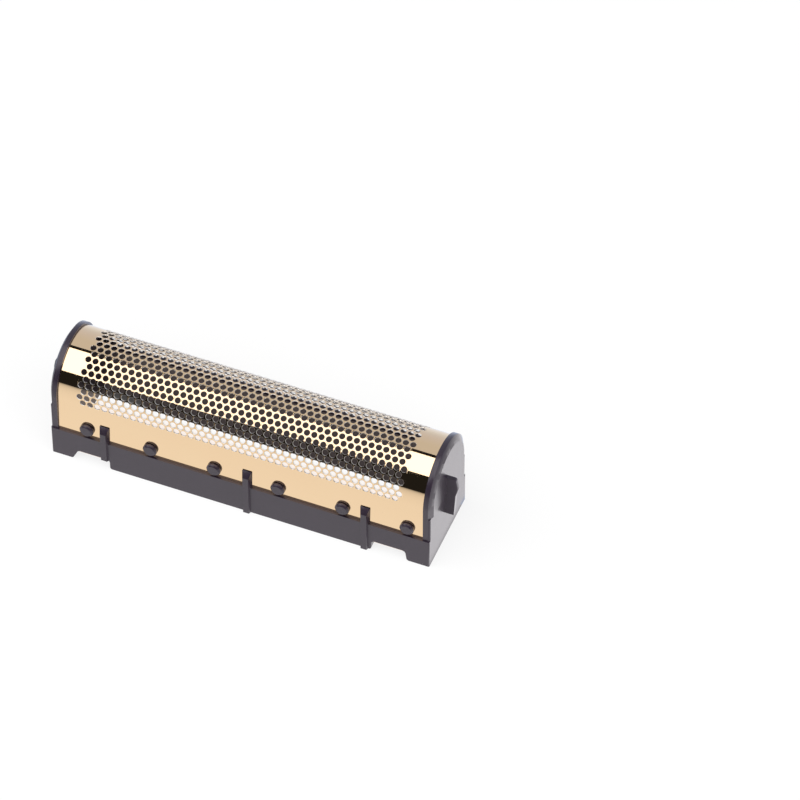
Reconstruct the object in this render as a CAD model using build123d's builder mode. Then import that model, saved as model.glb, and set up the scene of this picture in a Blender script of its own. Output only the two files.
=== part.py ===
"""Foil head of an electric shaver.

A one-piece moulded frame has two closed ends joined by two rails. A thin perforated foil is bent over
the frame from rail to rail and is held by heat-formed studs. The cutter works inside, through the open
base. X runs along the head, Y across it, Z up; the origin is on the resting face, below the middle.
"""

import os
from math import cos, pi, radians, sin, sqrt, tan

from build123d import *

# Overall sizes of the head, in millimetres.
body_length = 46.0  # over the end blocks, without the lugs
ledge_z = 4.1  # height of the rails, and of the ledge on them that the foil stands on
crown_rise = 4.85  # from the ledge to the axis of the round crown
side_spread = 1.5  # degrees that the flanks spread below the crown

# The foil: a thin sheet bent to an arch, whose crown is folded in narrow flats with a row of holes in each.
foil_radius = 5.05  # outer radius of the crown, to the middle of each flat
foil_thickness = 0.1
hole_pitch = 1.6
hole_size = 1.1  # over the corners of one hexagonal hole
left_field_margin = 3.35  # from the left end of the body to the first hole
right_field_margin = 3.65
field_half_angle = 86.0  # degrees from the top to the lower fold of the lowest row

# The rails: a low outer rail with a ledge, and a thinner wall behind the foil.
ledge_width = 0.3  # how far the rail stands out beyond the foil's lower edge
rail_wall = 1.1
stake_wall_rise = 2.65  # above the ledge
stake_wall_lead_in = 0.3
rail_end_round = 0.15

# Reliefs in the underside of the rails, which leave a foot at each end and a deeper middle.
relief_height = 1.45
relief_round = 0.45
relief_lip_round = 0.3  # where a relief runs out in the rail's underside
left_foot_length = 3.25
left_foot_slope = 0.7  # how far the foot's inner flank leans back
left_relief_length = 3.9
right_foot_length = 2.9
right_foot_slope = 0.2
right_relief_length = 4.1

# The closed ends: a seat that carries the foil, a proud rim, and a bevelled outer cap.
end_wall = 1.5
rim_inset = 0.85  # from the end face to the inner side of the rim
rim_width = 0.6
rim_height = 0.27  # how far the rim stands proud of the foil
cap_proud = 0.15  # how far the cap stands out of the end face
cap_bevel = 0.75  # radial width of the bevel round the cap
cap_drop = 1.3  # from the crown's axis down to the cap's lower edge
block_round = 0.25

# Ribs on the rails, which trap the foil's lower edge.
left_rib_inset = 6.55  # from the left end of the body to the middle of the rib
middle_rib_offset = 0.95  # to the right of the middle
right_rib_inset = 7.8
rib_back_width = 1.15
rib_front_width = 0.7
rib_proud = 0.3
rib_rise = 2.45  # above the ledge
rib_top_slope = 0.75  # drop of the slanted top from back to front

# Studs that pass through the foil and are spread over it.
stud_count = 6
left_stud_inset = 4.4  # from the left end of the body to the first stud
right_stud_inset = 2.75
stud_rise = 1.15  # above the ledge
stud_diameter = 1.1
stud_head_diameter = 1.7
stud_head_height = 0.45
stud_head_chamfer = 0.2
stud_sides = 8
stud_head_sides = 16

# Lugs on the end faces, which guide the head in its carrier and snap into it.
lug_bottom_z = 4.3
lug_height = 5.9
lug_reach = 1.25
lug_width = 0.5
lug_offset_y = -0.55  # the lugs stand a little in front of the middle
lug_foot_draft = 0.2  # how much less the lug's lower end reaches
lug_nose = 0.3
lug_nose_height = 4.4  # from the lug's bottom to the tip of its nose
lug_nose_span = 2.2  # from the neck under the nose to the top of its slope
lug_round = 0.3  # nose and outer top edge
lug_edge_round = 0.15  # the long outer edges

# Fits between the foil and the frame.
seat_clearance = 0.02
end_clearance = 0.03
stud_clearance = 0.06

half_length = body_length / 2
spread = radians(side_spread)
crown_centre_z = ledge_z + crown_rise
foil_foot_y = foil_radius * cos(spread) + (crown_rise + foil_radius * sin(spread)) * tan(spread)
half_width = foil_foot_y + ledge_width
cap_bottom_z = crown_centre_z - cap_drop
rim_radius = foil_radius + rim_height
seat_radius = foil_radius - foil_thickness - seat_clearance
rim_inner_x = half_length - rim_inset
rim_outer_x = rim_inner_x + rim_width
cap_x = half_length + cap_proud
seat_inner_x = half_length - end_wall
foil_base_z = ledge_z + seat_clearance
foil_half_length = rim_inner_x - end_clearance
field_length = body_length - left_field_margin - right_field_margin
field_centre_x = (left_field_margin - right_field_margin) / 2
row_pitch = hole_pitch * sqrt(3) / 2
row_turn = row_pitch / foil_radius
rows_per_side = int(radians(field_half_angle) / row_turn - 1 / 2)
stake_wall_top_z = ledge_z + stake_wall_rise
rib_top_z = ledge_z + rib_rise
rib_xs = (left_rib_inset - half_length, middle_rib_offset, half_length - right_rib_inset)
stud_z = ledge_z + stud_rise
first_stud_x = left_stud_inset - half_length
stud_pitch = (body_length - left_stud_inset - right_stud_inset) / (stud_count - 1)


def flank_y(radius, z):
    """Half width, at height z below the crown, of the foil's arch with this crown radius."""
    return radius * cos(spread) + (crown_centre_z + radius * sin(spread) - z) * tan(spread)


def arch(radius, base_z, flank_spread):
    """Closed arch outline in the YZ plane: a round crown on two flanks that spread to the base."""
    spring_y = radius * cos(flank_spread)
    spring_z = crown_centre_z + radius * sin(flank_spread)
    base_y = spring_y + (spring_z - base_z) * tan(flank_spread)
    with BuildLine() as outline:
        ThreePointArc((spring_y, spring_z), (0, crown_centre_z + radius), (-spring_y, spring_z))
        Polyline((-spring_y, spring_z), (-base_y, base_z), (base_y, base_z), (spring_y, spring_z))
    return outline.line


def folded_arch(radius, base_z):
    """Corners of an arch whose crown is folded in flats that touch this radius, one for each row of holes."""
    crown_turns = [row * row_turn for row in range(-rows_per_side, rows_per_side + 1)]
    flat_turns = [spread - pi / 2, *crown_turns, pi / 2 - spread]
    corners = [(-flank_y(radius, base_z), base_z)]
    for turn, next_turn in zip(flat_turns, flat_turns[1:]):
        corner_turn = (turn + next_turn) / 2
        corner_radius = radius / cos((next_turn - turn) / 2)
        corners.append((corner_radius * sin(corner_turn), crown_centre_z + corner_radius * cos(corner_turn)))
    corners.append((flank_y(radius, base_z), base_z))
    return corners


# One lug, moulded at the origin of its end face: a thin upright key with a snap nose.
with BuildPart() as lug:
    with BuildSketch(Plane.XZ) as lug_side:
        with BuildLine():
            neck_z = lug_bottom_z + lug_nose_height - lug_nose_span / 2
            nose_z = lug_bottom_z + lug_nose_height
            lug_top_z = lug_bottom_z + lug_height
            lug_plan_length = end_wall + lug_reach + lug_nose
            Polyline(
                (-end_wall / 2, lug_bottom_z),
                (lug_reach - lug_foot_draft, lug_bottom_z),
                (lug_reach, neck_z),
                (lug_reach + lug_nose, nose_z),
                (lug_reach, lug_top_z),
                (-end_wall / 2, lug_top_z),
                close=True,
            )
        make_face()
        fillet(lug_side.vertices().group_by(Axis.X)[-1], lug_round)
        fillet(lug_side.vertices().group_by(Axis.Y)[-1].sort_by(Axis.X)[-1], lug_round)
    extrude(amount=lug_width, both=True)
    with BuildSketch(Plane.XY) as lug_plan:
        with Locations((lug_reach + lug_nose - lug_plan_length / 2, 0)):
            Rectangle(lug_plan_length, lug_width)
        fillet(lug_plan.vertices().group_by(Axis.X)[-1], lug_edge_round)
    extrude(amount=lug_top_z, mode=Mode.INTERSECT)

right_lug = Pos(half_length, lug_offset_y, 0) * lug.part
left_lug = mirror(right_lug, about=Plane.YZ)

with BuildPart() as frame:
    # Closed end: the seat for the foil, the rim round it, and the block below the cap.
    with BuildSketch(Plane.YZ.offset(seat_inner_x)):
        with BuildLine():
            add(arch(seat_radius, 0, spread))
        make_face()
    extrude(amount=rim_inner_x - seat_inner_x)
    with BuildSketch(Plane.YZ.offset(rim_inner_x)):
        with BuildLine():
            add(arch(rim_radius, 0, 0))
        make_face()
    extrude(amount=rim_width)
    with BuildSketch(Plane.XY) as block:
        with Locations((half_length - rim_inset / 2, 0)):
            Rectangle(rim_inset, 2 * rim_radius)
        fillet(block.vertices().group_by(Axis.X)[-1], block_round)
    extrude(amount=cap_bottom_z)

    # The bevelled cap on the upper part of the end.
    with BuildSketch(Plane.YZ.offset(rim_outer_x)):
        with BuildLine():
            add(arch(rim_radius, cap_bottom_z, 0))
        make_face()
    with BuildSketch(Plane.YZ.offset(cap_x)):
        with BuildLine():
            add(arch(rim_radius - cap_bevel, cap_bottom_z, 0))
        make_face()
    loft(ruled=True)
    mirror(about=Plane.YZ)

    # Front rail: the outer rail with its ledge, and the wall behind the foil.
    with BuildSketch(Plane.YZ.offset(-half_length)):
        with Locations((-half_width + rail_wall / 2, ledge_z / 2)):
            Rectangle(rail_wall, ledge_z)
    extrude(amount=body_length)
    rail_corners = frame.edges().filter_by(Axis.Z).group_by(Axis.Y)[0]
    fillet(rail_corners, rail_end_round)
    with BuildSketch(Plane.YZ.offset(-seat_inner_x)):
        with BuildLine():
            inner_y = half_width - rail_wall
            Polyline(
                (-inner_y, 0),
                (-flank_y(seat_radius, 0), 0),
                (-flank_y(seat_radius, stake_wall_top_z), stake_wall_top_z),
                (-inner_y - stake_wall_lead_in / 2, stake_wall_top_z),
                (-inner_y, stake_wall_top_z - stake_wall_lead_in),
                close=True,
            )
        make_face()
    extrude(amount=2 * seat_inner_x)

    # Ribs that stand in front of the foil on the ledge and run down the rail.
    rib_back_y = foil_foot_y + seat_clearance
    rib_front_y = half_width + rib_proud
    for rib_x in rib_xs:
        with BuildSketch(Plane.XY):
            with BuildLine():
                Polyline(
                    (rib_x - rib_back_width / 2, -rib_back_y),
                    (rib_x - rib_front_width / 2, -rib_front_y),
                    (rib_x + rib_front_width / 2, -rib_front_y),
                    (rib_x + rib_back_width / 2, -rib_back_y),
                    close=True,
                )
            make_face()
        extrude(amount=rib_top_z)
    with BuildSketch(Plane.YZ.offset(-seat_inner_x)):
        with BuildLine():
            Polyline(
                (-rib_back_y, rib_top_z),
                (-rib_front_y, rib_top_z - rib_top_slope),
                (-rib_front_y, rib_top_z),
                close=True,
            )
        make_face()
    extrude(amount=2 * seat_inner_x, mode=Mode.SUBTRACT)

    # Studs, with their heads formed flat against the foil and bevelled round the front.
    stud_wall_y = flank_y(seat_radius, stud_z)
    head_seat_y = flank_y(foil_radius, stud_z - stud_head_diameter / 2) + seat_clearance
    stud_spots = [(first_stud_x + stud_pitch * i, stud_z) for i in range(stud_count)]
    with BuildSketch(Plane.XZ.offset(stud_wall_y - seat_clearance)):
        with Locations(*stud_spots):
            RegularPolygon(stud_diameter / 2, stud_sides)
    extrude(amount=head_seat_y - stud_wall_y + 2 * seat_clearance)
    with BuildSketch(Plane.XZ.offset(head_seat_y)):
        with Locations(*stud_spots):
            RegularPolygon(stud_head_diameter / 2, stud_head_sides)
    extrude(amount=stud_head_height)
    head_fronts = frame.faces(Select.LAST).group_by(Axis.Y)[0]
    chamfer(head_fronts.edges(), stud_head_chamfer)
    mirror(about=Plane.XZ)

    add(right_lug)
    add(left_lug)

    # Reliefs under both rails.
    left_relief_x = left_foot_length - half_length
    left_relief_end_x = left_relief_x + left_relief_length
    right_relief_end_x = half_length - right_foot_length
    right_relief_x = right_relief_end_x - right_relief_length
    reliefs = (
        (left_relief_x - left_foot_slope, left_relief_x, left_relief_end_x, left_relief_end_x),
        (right_relief_x, right_relief_x, right_relief_end_x, right_relief_end_x + right_foot_slope),
    )
    for low_start_x, high_start_x, high_end_x, low_end_x in reliefs:
        with BuildSketch(Plane.XZ) as relief:
            with BuildLine():
                Polyline(
                    (low_start_x, 0),
                    (high_start_x, relief_height),
                    (high_end_x, relief_height),
                    (low_end_x, 0),
                    close=True,
                )
            make_face()
            fillet(relief.vertices().group_by(Axis.Y)[-1], relief_round)
        extrude(amount=2 * half_width, both=True, mode=Mode.SUBTRACT)
    low_edges = frame.edges().filter_by(Axis.Y).group_by(Axis.Z)[0]
    fillet(low_edges.filter_by_position(Axis.X, left_relief_x - 1, right_relief_end_x + 1), relief_lip_round)

with BuildPart() as foil:
    with BuildSketch(Plane.YZ.offset(-foil_half_length)):
        with BuildLine():
            Polyline(*folded_arch(foil_radius, foil_base_z), close=True)
        make_face()
        with BuildLine():
            Polyline(*folded_arch(foil_radius - foil_thickness, foil_base_z), close=True)
        make_face(mode=Mode.SUBTRACT)
    extrude(amount=2 * foil_half_length)

    # Rows of holes, one in each flat, shifted half a pitch from the next.
    long_row_count = int((field_length - hole_size) / hole_pitch) + 1
    for row in range(-rows_per_side, rows_per_side + 1):
        turn = row * row_turn
        outward = (0, sin(turn), cos(turn))
        row_origin = (
            field_centre_x,
            foil_radius * sin(turn),
            crown_centre_z + foil_radius * cos(turn),
        )
        row_count = long_row_count - row % 2
        with BuildSketch(Plane(origin=row_origin, x_dir=(1, 0, 0), z_dir=outward)):
            with GridLocations(hole_pitch, hole_pitch, row_count, 1):
                RegularPolygon(hole_size / 2, 6, rotation=30)
    extrude(amount=2 * foil_thickness, both=True, mode=Mode.SUBTRACT)

    # Holes for the studs in both flanks.
    with BuildSketch(Plane.XZ):
        with Locations(*stud_spots):
            RegularPolygon(stud_diameter / 2 + stud_clearance, stud_sides)
    extrude(amount=2 * half_width, both=True, mode=Mode.SUBTRACT)

frame.part.label = "frame"
foil.part.label = "foil"
os.makedirs("parts", exist_ok=True)
export_step(frame.part, "parts/frame.step")
export_step(foil.part, "parts/foil.step")
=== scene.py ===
from math import atan2, cos, pi, radians, sin, tan

import bmesh
import bpy
from mathutils import Matrix, Vector


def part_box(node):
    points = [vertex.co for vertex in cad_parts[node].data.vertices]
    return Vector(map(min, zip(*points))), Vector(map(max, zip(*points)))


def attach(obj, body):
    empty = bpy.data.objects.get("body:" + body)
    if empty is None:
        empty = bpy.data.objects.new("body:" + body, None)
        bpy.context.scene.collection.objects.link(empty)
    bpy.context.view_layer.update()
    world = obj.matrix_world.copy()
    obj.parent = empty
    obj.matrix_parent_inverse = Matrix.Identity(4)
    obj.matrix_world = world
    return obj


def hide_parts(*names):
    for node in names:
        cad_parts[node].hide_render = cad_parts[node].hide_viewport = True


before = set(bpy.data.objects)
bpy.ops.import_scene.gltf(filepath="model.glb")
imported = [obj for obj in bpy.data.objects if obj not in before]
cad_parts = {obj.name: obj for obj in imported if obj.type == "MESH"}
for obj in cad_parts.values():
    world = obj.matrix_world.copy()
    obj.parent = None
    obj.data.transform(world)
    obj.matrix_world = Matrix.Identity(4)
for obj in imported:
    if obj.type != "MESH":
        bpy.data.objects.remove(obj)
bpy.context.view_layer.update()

# The frame moulding: one acetal piece with two rails, two closed ends, lugs, ribs and studs.
# It comes out of its mould with every edge slightly rounded and a fine satin skin. The modelled
# frame is copied, the walls behind the foil are raised to the holes, and its edges are rounded.
EDGE_ROUND = 0.00006
ROUNDED_ANGLE = radians(28)
FLAT_ANGLE = radians(0.5)
SMOOTH_ANGLE = radians(60)
WELD = 0.0000005
WALL_TOP_Z = 0.00675
WALL_LEAD_IN = 0.0003
WALL_REACH = 0.0051
WALL_MARGIN = 0.00001
REAR_WALL_RAISE = 0.00225
FRONT_WALL_RAISE = 0.0014
WALL_LEAN = radians(1.5)
MOULDED_BLACK = (0.0165, 0.0115, 0.0190, 1)
GRAIN_BLACK = (0.0220, 0.0155, 0.0250, 1)


def only(piece):
    """Makes this object the one that is selected and active."""
    bpy.ops.object.select_all(action="DESELECT")
    piece.select_set(True)
    bpy.context.view_layer.objects.active = piece


def apply_modifier(piece, kind, **settings):
    """Adds a modifier with these settings and applies it."""
    only(piece)
    modifier = piece.modifiers.new(kind.title(), kind)
    for name, value in settings.items():
        setattr(modifier, name, value)
    bpy.ops.object.modifier_apply(modifier=modifier.name)


class Signal:
    """One output of a shader node, which can be used in sums like a number."""

    def __init__(self, tree, output):
        self.tree = tree
        self.output = output

    def node(self, kind, settings, inputs, output=0):
        """Adds a node: its settings are set first, then its sockets' values or links."""
        made = self.tree.nodes.new("ShaderNode" + kind)
        for name, value in settings.items():
            if name == "stops":
                ramp = made.color_ramp
                while len(ramp.elements) < len(value):
                    ramp.elements.new(0)
                for element, (place, colour) in zip(ramp.elements, value):
                    element.position = place
                    element.color = colour
            else:
                setattr(made, name, value)
        for name, value in inputs.items():
            if isinstance(value, Signal):
                self.tree.links.new(value.output, made.inputs[name])
            else:
                made.inputs[name].default_value = value
        return Signal(self.tree, made.outputs[output])

    def math(self, operation, first, second=0.0):
        return self.node("Math", {"operation": operation}, {0: first, 1: second})

    def __add__(self, other):
        return self.math("ADD", self, other)

    def __sub__(self, other):
        return self.math("SUBTRACT", self, other)

    def __rsub__(self, other):
        return self.math("SUBTRACT", other, self)

    def __mul__(self, other):
        return self.math("MULTIPLY", self, other)

    def __rtruediv__(self, other):
        return self.math("DIVIDE", other, self)

    def __abs__(self):
        return self.math("ABSOLUTE", self)

    def __gt__(self, other):
        return self.math("GREATER_THAN", self, other)

    def __lt__(self, other):
        return self.math("LESS_THAN", self, other)

    __radd__ = __add__
    __rmul__ = __mul__


def new_finish(name):
    """A fresh material: the material, a start for its nodes, and its shader."""
    finish = bpy.data.materials.new(name)
    finish.use_nodes = True
    tree = finish.node_tree
    shader = tree.nodes["Principled BSDF"]
    return finish, Signal(tree, None), shader


def mix(share, first, second):
    """Mixes two colours, by the share of the second one."""
    return share.node("Mix", {"data_type": "RGBA"}, {0: share, 6: first, 7: second}, 2)


def feed(signal, shader, socket):
    """Links a signal to a socket of the shader."""
    signal.tree.links.new(signal.output, shader.inputs[socket])


def acetal():
    """Satin moulded acetal, near black with a trace of violet, with a fine grain."""
    finish, nodes, shader = new_finish("acetal")
    place = nodes.node("TexCoord", {}, {}, "Object")
    grain = nodes.node("TexNoise", {}, {"Vector": place, "Scale": 9000.0, "Detail": 3.0})
    flow = nodes.node("TexNoise", {}, {"Vector": place, "Scale": 320.0, "Detail": 2.0})
    feed(mix(flow, MOULDED_BLACK, GRAIN_BLACK), shader, "Base Color")
    feed(0.30 + 0.06 * flow + 0.04 * grain, shader, "Roughness")
    bump = nodes.node("Bump", {}, {"Height": grain, "Strength": 0.05, "Distance": 0.00002})
    feed(bump, shader, "Normal")
    shader.inputs["IOR"].default_value = 1.35
    shader.inputs["Coat Weight"].default_value = 1.0
    shader.inputs["Coat Roughness"].default_value = 0.25
    shader.inputs["Coat IOR"].default_value = 1.35
    shader.inputs["Coat Tint"].default_value = (1.0, 0.95, 1.0, 1)
    return finish


cad_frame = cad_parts["frame"]
moulding = cad_frame.copy()
moulding.data = cad_frame.data.copy()
moulding.name = "frame_moulding"
bpy.context.collection.objects.link(moulding)
only(moulding)
bpy.ops.object.mode_set(mode="EDIT")
bpy.ops.mesh.select_all(action="SELECT")
bpy.ops.mesh.remove_doubles(threshold=WELD)
bpy.ops.mesh.dissolve_limited(angle_limit=FLAT_ANGLE)
for side, wall_raise in ((1, REAR_WALL_RAISE), (-1, FRONT_WALL_RAISE)):
    bpy.ops.mesh.select_all(action="DESELECT")
    bpy.ops.mesh.select_mode(type="VERT")
    shell = bmesh.from_edit_mesh(moulding.data)
    for corner in shell.verts:
        below_top = WALL_TOP_Z - corner.co.z
        on_wall = 0 < side * corner.co.y < WALL_REACH
        corner.select_set(on_wall and -WALL_MARGIN < below_top < WALL_LEAD_IN + WALL_MARGIN)
    shell.select_flush_mode()
    bmesh.update_edit_mesh(moulding.data)
    lean = -side * wall_raise * tan(WALL_LEAN)
    bpy.ops.transform.translate(value=(0, lean, wall_raise))
bpy.ops.object.mode_set(mode="OBJECT")
apply_modifier(
    moulding, "BEVEL", width=EDGE_ROUND, segments=2, limit_method="ANGLE", angle_limit=ROUNDED_ANGLE
)
only(moulding)
bpy.ops.object.shade_smooth_by_angle(angle=SMOOTH_ANGLE)
apply_modifier(moulding, "WEIGHTED_NORMAL", weight=100, keep_sharp=True)
moulding.data.materials.clear()
moulding.data.materials.append(acetal())
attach(moulding, "root")
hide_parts("frame")

# The foil: a thin nickel sheet with rows of round holes, gilded outside, and bent over the frame. It
# is grown on a pattern, which leaves the holes' rims rounded. Here it is made flat and then wrapped
# round the crown and down both flanks, where the studs pass through it.
HOLE_PITCH = 0.0008775
ROW_PITCH = 0.00076
HOLE_RADIUS = 0.000357
HOLE_SIDES = 12
RIM_RADIUS = 0.000377
RIM_DEPTH = 0.000022
ROWS_PER_SIDE = 10
LONG_ROW_HOLES = 45
FIELD_MIDDLE_X = -0.000175
FIELD_SHIFT = 0.0001
FOIL_THICKNESS = 0.0001
CROWN_RADIUS = 0.00505
CROWN_CENTRE_Z = 0.00895
SIDE_SPREAD = radians(1.5)
STUD_COUNT = 6
STUD_PITCH = 0.00777
FIRST_STUD_X = -0.0186
STUD_Z = 0.00525
STUD_HOLE_RADIUS = 0.00061
STUD_HOLE_SIDES = 16
STUD_TILE_WIDTH = 0.0036
STUD_TILE_RISE = 0.00095
WALL_FACING = 0.7
FLAT_FACING = 0.985
GOLD = (0.895, 0.650, 0.405, 1)
PALE_GOLD = (0.915, 0.683, 0.436, 1)
NICKEL = (0.80, 0.76, 0.72, 1)
DULL_NICKEL = (0.736, 0.6992, 0.6624, 1)

foil_low, foil_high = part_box("foil")
foil_base_z = foil_low[2]
spring_turn = pi / 2 - SIDE_SPREAD
spring_reach = CROWN_RADIUS * spring_turn
spring_z = CROWN_CENTRE_Z + CROWN_RADIUS * sin(SIDE_SPREAD)
base_reach = spring_reach + (spring_z - foil_base_z) / cos(SIDE_SPREAD)
stud_reach = spring_reach + (spring_z - STUD_Z) / cos(SIDE_SPREAD)


def select_edges(piece, test):
    """In edit mode, selects only the edges whose two ends pass the test."""
    bpy.ops.mesh.select_all(action="DESELECT")
    bpy.ops.mesh.select_mode(type="EDGE")
    sheet = bmesh.from_edit_mesh(piece.data)
    for edge in sheet.edges:
        edge.select_set(all(test(corner.co) for corner in edge.verts))
    sheet.select_flush_mode()
    bmesh.update_edit_mesh(piece.data)


def near(a, b):
    """True where two places are the same to within a thousandth of a millimetre."""
    return abs(a - b) < 0.000001


def holed_tile(name, width, low, high, radius, rim_radius, sides, splits):
    """A flat rectangle round one hole and its rim; splits is how many points divide its long edges."""
    bpy.ops.object.select_all(action="DESELECT")
    bpy.ops.mesh.primitive_circle_add(vertices=sides, radius=rim_radius)
    tile = bpy.context.object
    tile.name = name
    bpy.ops.object.mode_set(mode="EDIT")
    bpy.ops.mesh.select_all(action="DESELECT")
    bpy.ops.mesh.primitive_plane_add(size=1)
    bpy.ops.transform.resize(value=(width, high - low, 1))
    bpy.ops.transform.translate(value=(0, (high + low) / 2, 0))
    bpy.ops.mesh.delete(type="ONLY_FACE")
    if splits:
        select_edges(tile, lambda co: near(co.y, low))
        bpy.ops.mesh.subdivide(number_cuts=splits)
        select_edges(tile, lambda co: near(co.y, high))
        bpy.ops.mesh.subdivide(number_cuts=splits)
    bpy.ops.mesh.select_all(action="SELECT")
    bpy.ops.mesh.bridge_edge_loops()
    if radius < rim_radius:
        select_edges(tile, lambda co: co.length < rim_radius + WELD)
        bpy.ops.mesh.extrude_edges_move(TRANSFORM_OT_translate={"value": (0, 0, -RIM_DEPTH)})
        shrink = radius / rim_radius
        bpy.ops.transform.resize(value=(shrink, shrink, 1), center_override=(0, 0, 0))
    bpy.ops.object.mode_set(mode="OBJECT")
    return tile


def repeat(piece, count, step):
    """Repeats a piece in a row and welds the copies."""
    apply_modifier(
        piece,
        "ARRAY",
        count=count,
        use_relative_offset=False,
        use_constant_offset=True,
        constant_offset_displace=step,
        use_merge_vertices=True,
        merge_threshold=WELD,
    )


def move_mesh(piece, x, y):
    """Moves a piece's mesh, so that its object stays at the origin."""
    piece.data.transform(Matrix.Translation((x, y, 0)))


def extrude_edge(piece, test, x, y):
    """Extrudes the edges that pass the test by this step."""
    select_edges(piece, test)
    bpy.ops.mesh.extrude_edges_move(TRANSFORM_OT_translate={"value": (x, y, 0)})


def join(first, *others):
    """Joins pieces into the first one and welds them."""
    only(first)
    for other in others:
        other.select_set(True)
    bpy.ops.object.join()
    bpy.ops.object.mode_set(mode="EDIT")
    bpy.ops.mesh.select_all(action="SELECT")
    bpy.ops.mesh.remove_doubles(threshold=WELD)
    bpy.ops.object.mode_set(mode="OBJECT")


field_left = FIELD_MIDDLE_X - LONG_ROW_HOLES / 2 * HOLE_PITCH
field_right = FIELD_MIDDLE_X + LONG_ROW_HOLES / 2 * HOLE_PITCH
field_reach = (ROWS_PER_SIDE + 1 / 2) * ROW_PITCH
field_back = FIELD_SHIFT + field_reach
field_front = FIELD_SHIFT - field_reach
crown_reach = field_reach + 2 * FIELD_SHIFT

tile_height = (-ROW_PITCH / 2, ROW_PITCH / 2)
hole = (HOLE_RADIUS, RIM_RADIUS, HOLE_SIDES)
long_rows = holed_tile("foil_sheet", HOLE_PITCH, *tile_height, *hole, 1)
repeat(long_rows, LONG_ROW_HOLES, (HOLE_PITCH, 0, 0))
move_mesh(long_rows, field_left + HOLE_PITCH / 2, FIELD_SHIFT + (1 - ROWS_PER_SIDE) * ROW_PITCH)
repeat(long_rows, ROWS_PER_SIDE, (0, 2 * ROW_PITCH, 0))

short_rows = holed_tile("short_rows", HOLE_PITCH, *tile_height, *hole, 1)
repeat(short_rows, LONG_ROW_HOLES - 1, (HOLE_PITCH, 0, 0))
move_mesh(short_rows, field_left + HOLE_PITCH, FIELD_SHIFT - ROWS_PER_SIDE * ROW_PITCH)
only(short_rows)
bpy.ops.object.mode_set(mode="EDIT")
extrude_edge(short_rows, lambda co: near(co.x, field_left + HOLE_PITCH / 2), -HOLE_PITCH / 2, 0)
extrude_edge(short_rows, lambda co: near(co.x, field_right - HOLE_PITCH / 2), HOLE_PITCH / 2, 0)
bpy.ops.object.mode_set(mode="OBJECT")
repeat(short_rows, ROWS_PER_SIDE + 1, (0, 2 * ROW_PITCH, 0))

foil = long_rows
join(foil, short_rows)
only(foil)
bpy.ops.object.mode_set(mode="EDIT")
extrude_edge(foil, lambda co: near(co.x, field_left), foil_low[0] - field_left, 0)
extrude_edge(foil, lambda co: near(co.x, field_right), foil_high[0] - field_right, 0)
extrude_edge(foil, lambda co: near(co.y, field_back), 0, crown_reach - field_back)
extrude_edge(foil, lambda co: near(co.y, field_front), 0, -crown_reach - field_front)
bpy.ops.object.mode_set(mode="OBJECT")

# Both flanks carry a strip with the studs' holes, joined to the crown by a plain stretch.
stud_tile_height = (-STUD_TILE_RISE, base_reach - stud_reach)
stud_hole = (STUD_HOLE_RADIUS, STUD_HOLE_RADIUS, STUD_HOLE_SIDES)
flank = holed_tile("flank", STUD_TILE_WIDTH, *stud_tile_height, *stud_hole, 0)
only(flank)
bpy.ops.object.mode_set(mode="EDIT")
extrude_edge(flank, lambda co: near(co.x, STUD_TILE_WIDTH / 2), STUD_PITCH - STUD_TILE_WIDTH, 0)
bpy.ops.object.mode_set(mode="OBJECT")
repeat(flank, STUD_COUNT, (STUD_PITCH, 0, 0))
move_mesh(flank, FIRST_STUD_X, stud_reach)
strip_left = FIRST_STUD_X - STUD_TILE_WIDTH / 2
strip_right = strip_left + STUD_COUNT * STUD_PITCH
only(flank)
bpy.ops.object.mode_set(mode="EDIT")
extrude_edge(flank, lambda co: near(co.x, strip_left), foil_low[0] - strip_left, 0)
select_edges(flank, lambda co: near(co.x, strip_right))
bpy.ops.transform.translate(value=(foil_high[0] - strip_right, 0, 0))
bpy.ops.object.mode_set(mode="OBJECT")
front_flank = flank.copy()
front_flank.data = flank.data.copy()
bpy.context.collection.objects.link(front_flank)
front_flank.data.transform(Matrix.Scale(-1, 4, (0, 1, 0)))
join(foil, flank, front_flank)
only(foil)
bpy.ops.object.mode_set(mode="EDIT")
strip_reach = stud_reach - STUD_TILE_RISE
for side in (1, -1):
    select_edges(foil, lambda co: near(side * co.y, crown_reach) or near(side * co.y, strip_reach))
    bpy.ops.mesh.bridge_edge_loops()
bpy.ops.mesh.select_all(action="SELECT")
bpy.ops.mesh.quads_convert_to_tris(quad_method="BEAUTY", ngon_method="BEAUTY")
bpy.ops.mesh.normals_make_consistent(inside=False)
bpy.ops.object.mode_set(mode="OBJECT")
if sum(face.normal.z for face in foil.data.polygons) < 0:
    foil.data.flip_normals()


def wrapped(reach):
    """Where a point of the flat sheet goes: across the head, and up, by its distance from the top line."""
    side = 1 if reach > 0 else -1
    turn = min(abs(reach) / CROWN_RADIUS, spring_turn)
    drop = max(abs(reach) - spring_reach, 0)
    y = CROWN_RADIUS * sin(turn) + drop * sin(SIDE_SPREAD)
    z = CROWN_CENTRE_Z + CROWN_RADIUS * cos(turn) - drop * cos(SIDE_SPREAD)
    return side * y, z


def outward(place):
    """The sheet's true normal at a place on it."""
    turn = atan2(place.y, place.z - CROWN_CENTRE_Z)
    turn = max(-spring_turn, min(spring_turn, turn))
    return Vector((0, sin(turn), cos(turn)))


rim_drops = [corner.co.z for corner in foil.data.vertices]
for corner in foil.data.vertices:
    corner.co.y, corner.co.z = wrapped(corner.co.y)
apply_modifier(foil, "SOLIDIFY", thickness=FOIL_THICKNESS, offset=-1, use_even_offset=True)
# The outer side's points come first, so that only the holes' outer rims are pressed down.
for corner, drop in zip(foil.data.vertices, rim_drops):
    corner.co += drop * outward(corner.co)
only(foil)
bpy.ops.object.shade_smooth()
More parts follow.
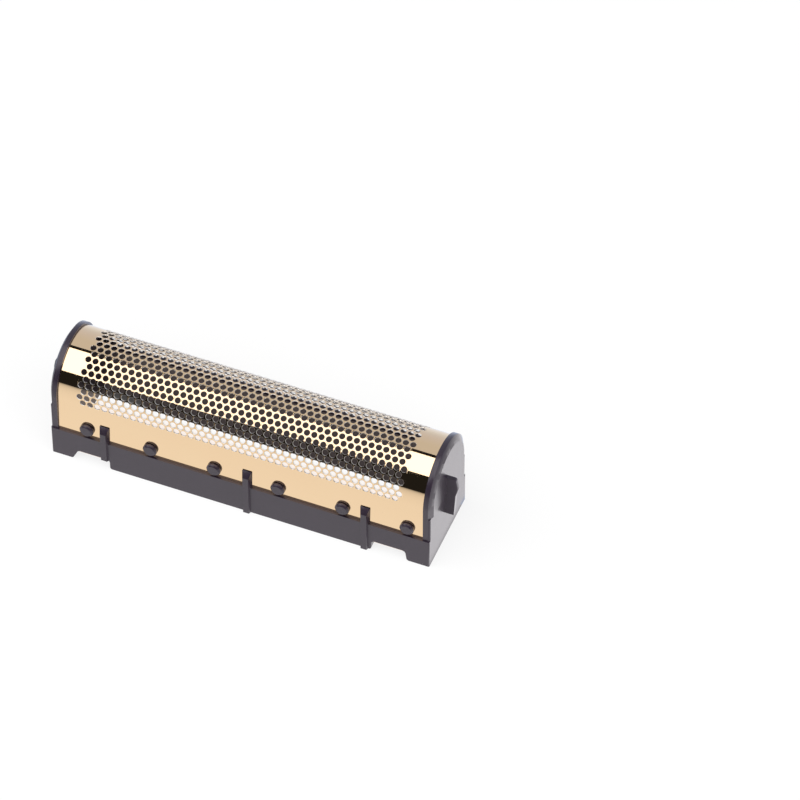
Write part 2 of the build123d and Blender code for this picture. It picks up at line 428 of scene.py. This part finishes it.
# Flat faces and rims get the smooth bend's normals, and the walls of the holes keep their own.
normals = []
for face in foil.data.polygons:
    face_out = outward(face.center)
    facing = face.normal.dot(face_out)
    on_rim = WALL_FACING < facing < FLAT_FACING
    for index in face.vertices:
        place = foil.data.vertices[index].co
        true_normal = outward(place)
        if on_rim and (place - face.center).dot(face_out) < 0:
            normals.append(2 * facing * face.normal - true_normal)
        elif abs(facing) > WALL_FACING:
            normals.append(true_normal if facing > 0 else -true_normal)
        else:
            normals.append(face.normal.copy())
foil.data.normals_split_custom_set(normals)
foil.name = "foil_sheet"


def gilding():
    """Bright gilded sheet: a nearly mirror-like gold, a little paler in places, faintly rolled."""
    finish, nodes, shader = new_finish("gilding")
    place = nodes.node("TexCoord", {}, {}, "Object")
    stretched = nodes.node("Mapping", {}, {"Vector": place, "Scale": (0.25, 1.0, 1.0)})
    rolling = nodes.node("TexNoise", {}, {"Vector": stretched, "Scale": 2500.0, "Detail": 2.0})
    cloud = nodes.node("TexNoise", {}, {"Vector": place, "Scale": 150.0, "Detail": 1.0})
    feed(mix(cloud, GOLD, PALE_GOLD), shader, "Base Color")
    feed(0.03 + 0.04 * rolling, shader, "Roughness")
    bump = nodes.node("Bump", {}, {"Height": cloud, "Strength": 0.05, "Distance": 0.00002})
    feed(bump, shader, "Normal")
    shader.inputs["Metallic"].default_value = 1.0
    return finish


def bare_nickel():
    """The sheet's plain side: pale nickel with a soft shine, a little duller in places."""
    finish, nodes, shader = new_finish("nickel")
    place = nodes.node("TexCoord", {}, {}, "Object")
    cloud = nodes.node("TexNoise", {}, {"Vector": place, "Scale": 400.0, "Detail": 2.0})
    feed(mix(cloud, NICKEL, DULL_NICKEL), shader, "Base Color")
    feed(0.25 + 0.1 * cloud, shader, "Roughness")
    shader.inputs["Metallic"].default_value = 1.0
    return finish


foil.data.materials.clear()
foil.data.materials.append(gilding())
foil.data.materials.append(bare_nickel())
for face in foil.data.polygons:
    on_outside = face.normal.dot(outward(face.center)) > WALL_FACING
    face.material_index = 0 if on_outside else 1
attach(foil, "root")
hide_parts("foil")

# The floor: a wide white board. The camera sees it as white, with the head's soft shadow on it, and with
# painted warm light under the head and a painted shadow just behind its rear rail. In reflections its glow
# is painted light and shade: it fades with distance, and is cool behind the head, brighter past its right
# end and dimmer past its left one. Under the head and its rear rail it is painted dim and warm, as shade
# where little light gets in.
FLOOR_SIZE = 6
FLOOR_WHITE = (0.9, 0.9, 0.9, 1)
WHITE = (1, 1, 1, 1)
SEEN_SHARE = 0.8
UNDER_SEEN_SHARE = 0.95
FADE_LENGTH = 0.24
BACK_FADE_LENGTH = 0.03
BACK_LEVEL = 0.72
BACK_TINT = (1.0, 1.13, 1.36, 1)
# Painted light and shade zones of the floor's glow in reflections.
RIGHT_X = 0.0232
RIGHT_LEVEL = 1.4
LEFT_X = -0.0240
LEFT_SLANT = 0.45
LEFT_LEVEL = 0.35
UNDER_HALF_LENGTH = 0.0215
UNDER_HALF_WIDTH = 0.0044
# Painted dim, warm shade under the head in reflections, with painted light towards its front.
UNDER_LEVEL = 0.55
UNDER_TINT = (1.0, 0.86, 0.74, 1)
UNDER_FRONT_LEVEL = 1.2
UNDER_FRONT_Y = -0.0016
UNDER_FRONT_DEPTH = 0.0010
# Painted warm light on the floor under the head as the camera sees it, fading towards the rear rail.
PAINTED_WARM_TINT = (1.0, 0.89, 0.82, 1)
PAINTED_WARMTH_BACK_Y = 0.0040
PAINTED_WARMTH_DEPTH = 0.0016
# A painted shadow on the floor just behind the rear rail, in reflections and to the camera.
REAR_SHADE = (0.03, 0.027, 0.025, 1)
REAR_SHADE_HALF_LENGTH = 0.0215
REAR_SHADE_Y = 0.0055
REAR_SHADE_DEPTH = 0.0012


def ramp(distance, reach):
    """Rises from 0 to 1 while the distance goes from 0 to this reach."""
    return distance.node("Math", {"operation": "DIVIDE", "use_clamp": True}, {0: distance, 1: reach})


bpy.ops.object.select_all(action="DESELECT")
bpy.ops.mesh.primitive_grid_add(x_subdivisions=4, y_subdivisions=4, size=FLOOR_SIZE)
floor = bpy.context.object
floor.name = "floor"
board, nodes, shader = new_finish("white_board")
shader.inputs["Base Color"].default_value = FLOOR_WHITE
shader.inputs["Roughness"].default_value = 0.9
shader.inputs["Specular IOR Level"].default_value = 0.0
camera_ray = nodes.node("LightPath", {}, {}, "Is Camera Ray")
glossy_ray = nodes.node("LightPath", {}, {}, "Is Glossy Ray")
place = nodes.node("TexCoord", {}, {}, "Object")
right = nodes.node("SeparateXYZ", {}, {"Vector": place}, "X")
back = nodes.node("SeparateXYZ", {}, {"Vector": place}, "Y")
along = abs(right)
across = abs(back)
under = (along < UNDER_HALF_LENGTH) * (across < UNDER_HALF_WIDTH)
past_inside = back > UNDER_HALF_WIDTH
behind = past_inside * (right < RIGHT_X)
past_right = right > RIGHT_X
past_left = (right + LEFT_SLANT * back < LEFT_X) * (back > 0.0)
# Painted shadow: darkest at the rear rail, fading out behind it and towards its ends.
rear_shade = (1.0 - ramp(back - REAR_SHADE_Y, REAR_SHADE_DEPTH)) * past_inside
rear_shade = rear_shade * ramp(REAR_SHADE_HALF_LENGTH - along, REAR_SHADE_DEPTH)

# Painted light in reflections: the glow fades with distance, is brighter past the right end, dimmer past
# the left one, and dimmer and cool behind the head.
front_level = FADE_LENGTH / (across + FADE_LENGTH) * (1.0 + (RIGHT_LEVEL - 1.0) * past_right)
back_level = BACK_LEVEL + (1.0 - BACK_LEVEL) * (BACK_FADE_LENGTH / (across + BACK_FADE_LENGTH))
open_level = front_level + (back_level - front_level) * behind
open_level = open_level * (1.0 - rear_shade) * (1.0 - (1.0 - LEFT_LEVEL) * past_left)
# Painted shade under the head in reflections, brightened by painted light towards the front.
towards_front = ramp(UNDER_FRONT_Y - back, UNDER_FRONT_DEPTH)
under_level = UNDER_LEVEL + (UNDER_FRONT_LEVEL - UNDER_LEVEL) * towards_front
level = open_level + (under_level - open_level) * under
tint = mix(under, mix(behind, WHITE, BACK_TINT), UNDER_TINT)
mirrored_colour = nodes.node("VectorMath", {"operation": "SCALE"}, {0: tint, "Scale": level})
mirrored = nodes.node("Emission", {}, {"Color": mirrored_colour, "Strength": 1.0})

# To the camera the floor under the head shows painted warm light; there it shows more of this painted
# colour and less of the lit board.
painted_warmth = ramp(PAINTED_WARMTH_BACK_Y - back, PAINTED_WARMTH_DEPTH) * under
# To the camera, the painted shadow behind the rear rail darkens the floor's plain colour.
seen_colour = mix(rear_shade, mix(painted_warmth, WHITE, PAINTED_WARM_TINT), REAR_SHADE)
plain = nodes.node("Emission", {}, {"Color": seen_colour, "Strength": 1.0})
lit = Signal(nodes.tree, shader.outputs[0])
seen_share = (SEEN_SHARE + (UNDER_SEEN_SHARE - SEEN_SHARE) * under) * camera_ray
seen = nodes.node("MixShader", {}, {0: seen_share, 1: lit, 2: plain})
board_finish = nodes.node("MixShader", {}, {0: glossy_ray, 1: seen, 2: mirrored})
nodes.tree.links.new(board_finish.output, nodes.tree.nodes["Material Output"].inputs["Surface"])
floor.data.materials.append(board)

# The lamp: one large soft light over the front of the head.
LAMP_TURN = radians(28)
LAMP_SPAN = radians(68)
LAMP_DISTANCE = 0.8
LAMP_LENGTH = 2.4
LAMP_RADIANCE = 2.0

lamp_depth = 2 * LAMP_DISTANCE * sin(LAMP_SPAN / 2)
bpy.ops.object.light_add(type="AREA")
lamp = bpy.context.object
lamp.name = "soft_light"
lamp.data.shape = "RECTANGLE"
lamp.data.size = LAMP_LENGTH
lamp.data.size_y = lamp_depth
lamp.data.energy = LAMP_RADIANCE * pi * LAMP_LENGTH * lamp_depth
lamp.location = Vector((0, -sin(LAMP_TURN), cos(LAMP_TURN))) * LAMP_DISTANCE * cos(LAMP_SPAN / 2)
lamp.rotation_euler = (LAMP_TURN, 0, 0)
lamp.visible_camera = False
lamp.visible_glossy = False

# The diffuser: a bright sheet close above the head, which only reflections show. Its lower edge
# slants, so that the dark band below it on the foil widens towards the right.
SHEET_CENTRE = Vector((0, 0, 0.012))
SHEET_TURN = radians(20)
SHEET_DISTANCE = 0.15
SHEET_TOP_TURN = radians(-5.2)
SHEET_RIGHT_TURN = radians(45.4)
SHEET_LEFT_TURN = radians(57.4)
SHEET_RIGHT_X = -0.022
SHEET_LEFT_X = -0.070
SHEET_END_X = 0.6
SHEET_RADIANCE = 2.1

low_right = SHEET_DISTANCE * tan(SHEET_RIGHT_TURN - SHEET_TURN)
low_left = SHEET_DISTANCE * tan(SHEET_LEFT_TURN - SHEET_TURN)
high = SHEET_DISTANCE * tan(SHEET_TOP_TURN - SHEET_TURN)
bpy.ops.object.select_all(action="DESELECT")
bpy.ops.mesh.primitive_grid_add(x_subdivisions=3, y_subdivisions=1, size=2)
sheet = bpy.context.object
sheet.name = "diffuser"
edge_xs = (-SHEET_END_X, SHEET_LEFT_X, SHEET_RIGHT_X, SHEET_END_X)
for corner in sheet.data.vertices:
    column = round((corner.co.x + 1) * 3 / 2)
    low = low_left if column < 2 else low_right
    down = low if corner.co.y < 0 else high
    place = Vector((edge_xs[column], -down, SHEET_DISTANCE))
    place.rotate(Matrix.Rotation(SHEET_TURN, 3, "X"))
    corner.co = place + SHEET_CENTRE
glow, nodes, shader = new_finish("diffuser_glow")
light = nodes.node("Emission", {}, {"Color": WHITE, "Strength": SHEET_RADIANCE})
nodes.tree.links.new(light.output, nodes.tree.nodes["Material Output"].inputs["Surface"])
glow.cycles.emission_sampling = "NONE"
sheet.data.materials.append(glow)
sheet.visible_camera = False
sheet.visible_diffuse = False
sheet.visible_shadow = False
sheet.visible_transmission = False

# The room: white where the camera looks past the floor. In reflections it is a dim ceiling, which
# turns brighter and cooler towards the back, with a dark gap between the diffuser and the floor.
CEILING_STOPS = (
    (0.00, (0.633, 0.655, 0.690, 1)),
    (0.48, (0.644, 0.680, 0.800, 1)),
    (0.79, (0.664, 0.730, 0.890, 1)),
    (1.00, (0.720, 0.814, 0.979, 1)),
)
CEILING_START_TURN = radians(-39.6)
CEILING_SPAN = radians(50.4)
GAP_COLOUR = (0.015, 0.015, 0.015, 1)
GAP_TOP_TURN = radians(-13.5)
GAP_LOW_TURN = radians(91)
FILL_GREY = (0.3, 0.3, 0.3, 1)

room = bpy.data.worlds.new("room")
bpy.context.scene.world = room
room.use_nodes = True
tree = room.node_tree
nodes = Signal(tree, None)
direction = nodes.node("TexCoord", {}, {}, "Generated")
front = nodes.node("SeparateXYZ", {}, {"Vector": direction}, "Y") * -1.0
up = nodes.node("SeparateXYZ", {}, {"Vector": direction}, "Z")
turn = nodes.math("ARCTAN2", front, up)
backwards = (CEILING_START_TURN - turn) * (1 / CEILING_SPAN)
ceiling = nodes.node("ValToRGB", {"stops": CEILING_STOPS}, {"Fac": backwards})
gap = (turn > GAP_TOP_TURN) * (turn < GAP_LOW_TURN)
mirrored = mix(gap, ceiling, GAP_COLOUR)
glossy_ray = nodes.node("LightPath", {}, {}, "Is Glossy Ray")
camera_ray = nodes.node("LightPath", {}, {}, "Is Camera Ray")
transmission_ray = nodes.node("LightPath", {}, {}, "Is Transmission Ray")
seen = nodes.math("MAXIMUM", camera_ray, transmission_ray)
light = mix(seen, mix(glossy_ray, FILL_GREY, mirrored), WHITE)
background = tree.nodes["Background"]
background.inputs["Strength"].default_value = 1.0
tree.links.new(light.output, background.inputs["Color"])

# The camera: the photograph's viewing angle, through a long lens.
VIEW_PLACE = Vector((0.18146563, -0.40686381, 0.51158956))
VIEW_RIGHT = Vector((0.9273432, 0.3742120, 0.0))
VIEW_BACK = Vector((0.2491479, -0.6174190, 0.7461361))
bpy.ops.object.camera_add()
camera = bpy.context.object
camera.data.sensor_width = 36
camera.data.lens = 270
camera.data.clip_start = 0.01
camera.data.clip_end = 20
turned = Matrix((VIEW_RIGHT, VIEW_BACK.cross(VIEW_RIGHT), VIEW_BACK)).transposed().to_4x4()
camera.matrix_world = Matrix.Translation(VIEW_PLACE) @ turned
bpy.context.scene.camera = camera
bpy.context.scene.view_settings.view_transform = "Standard"
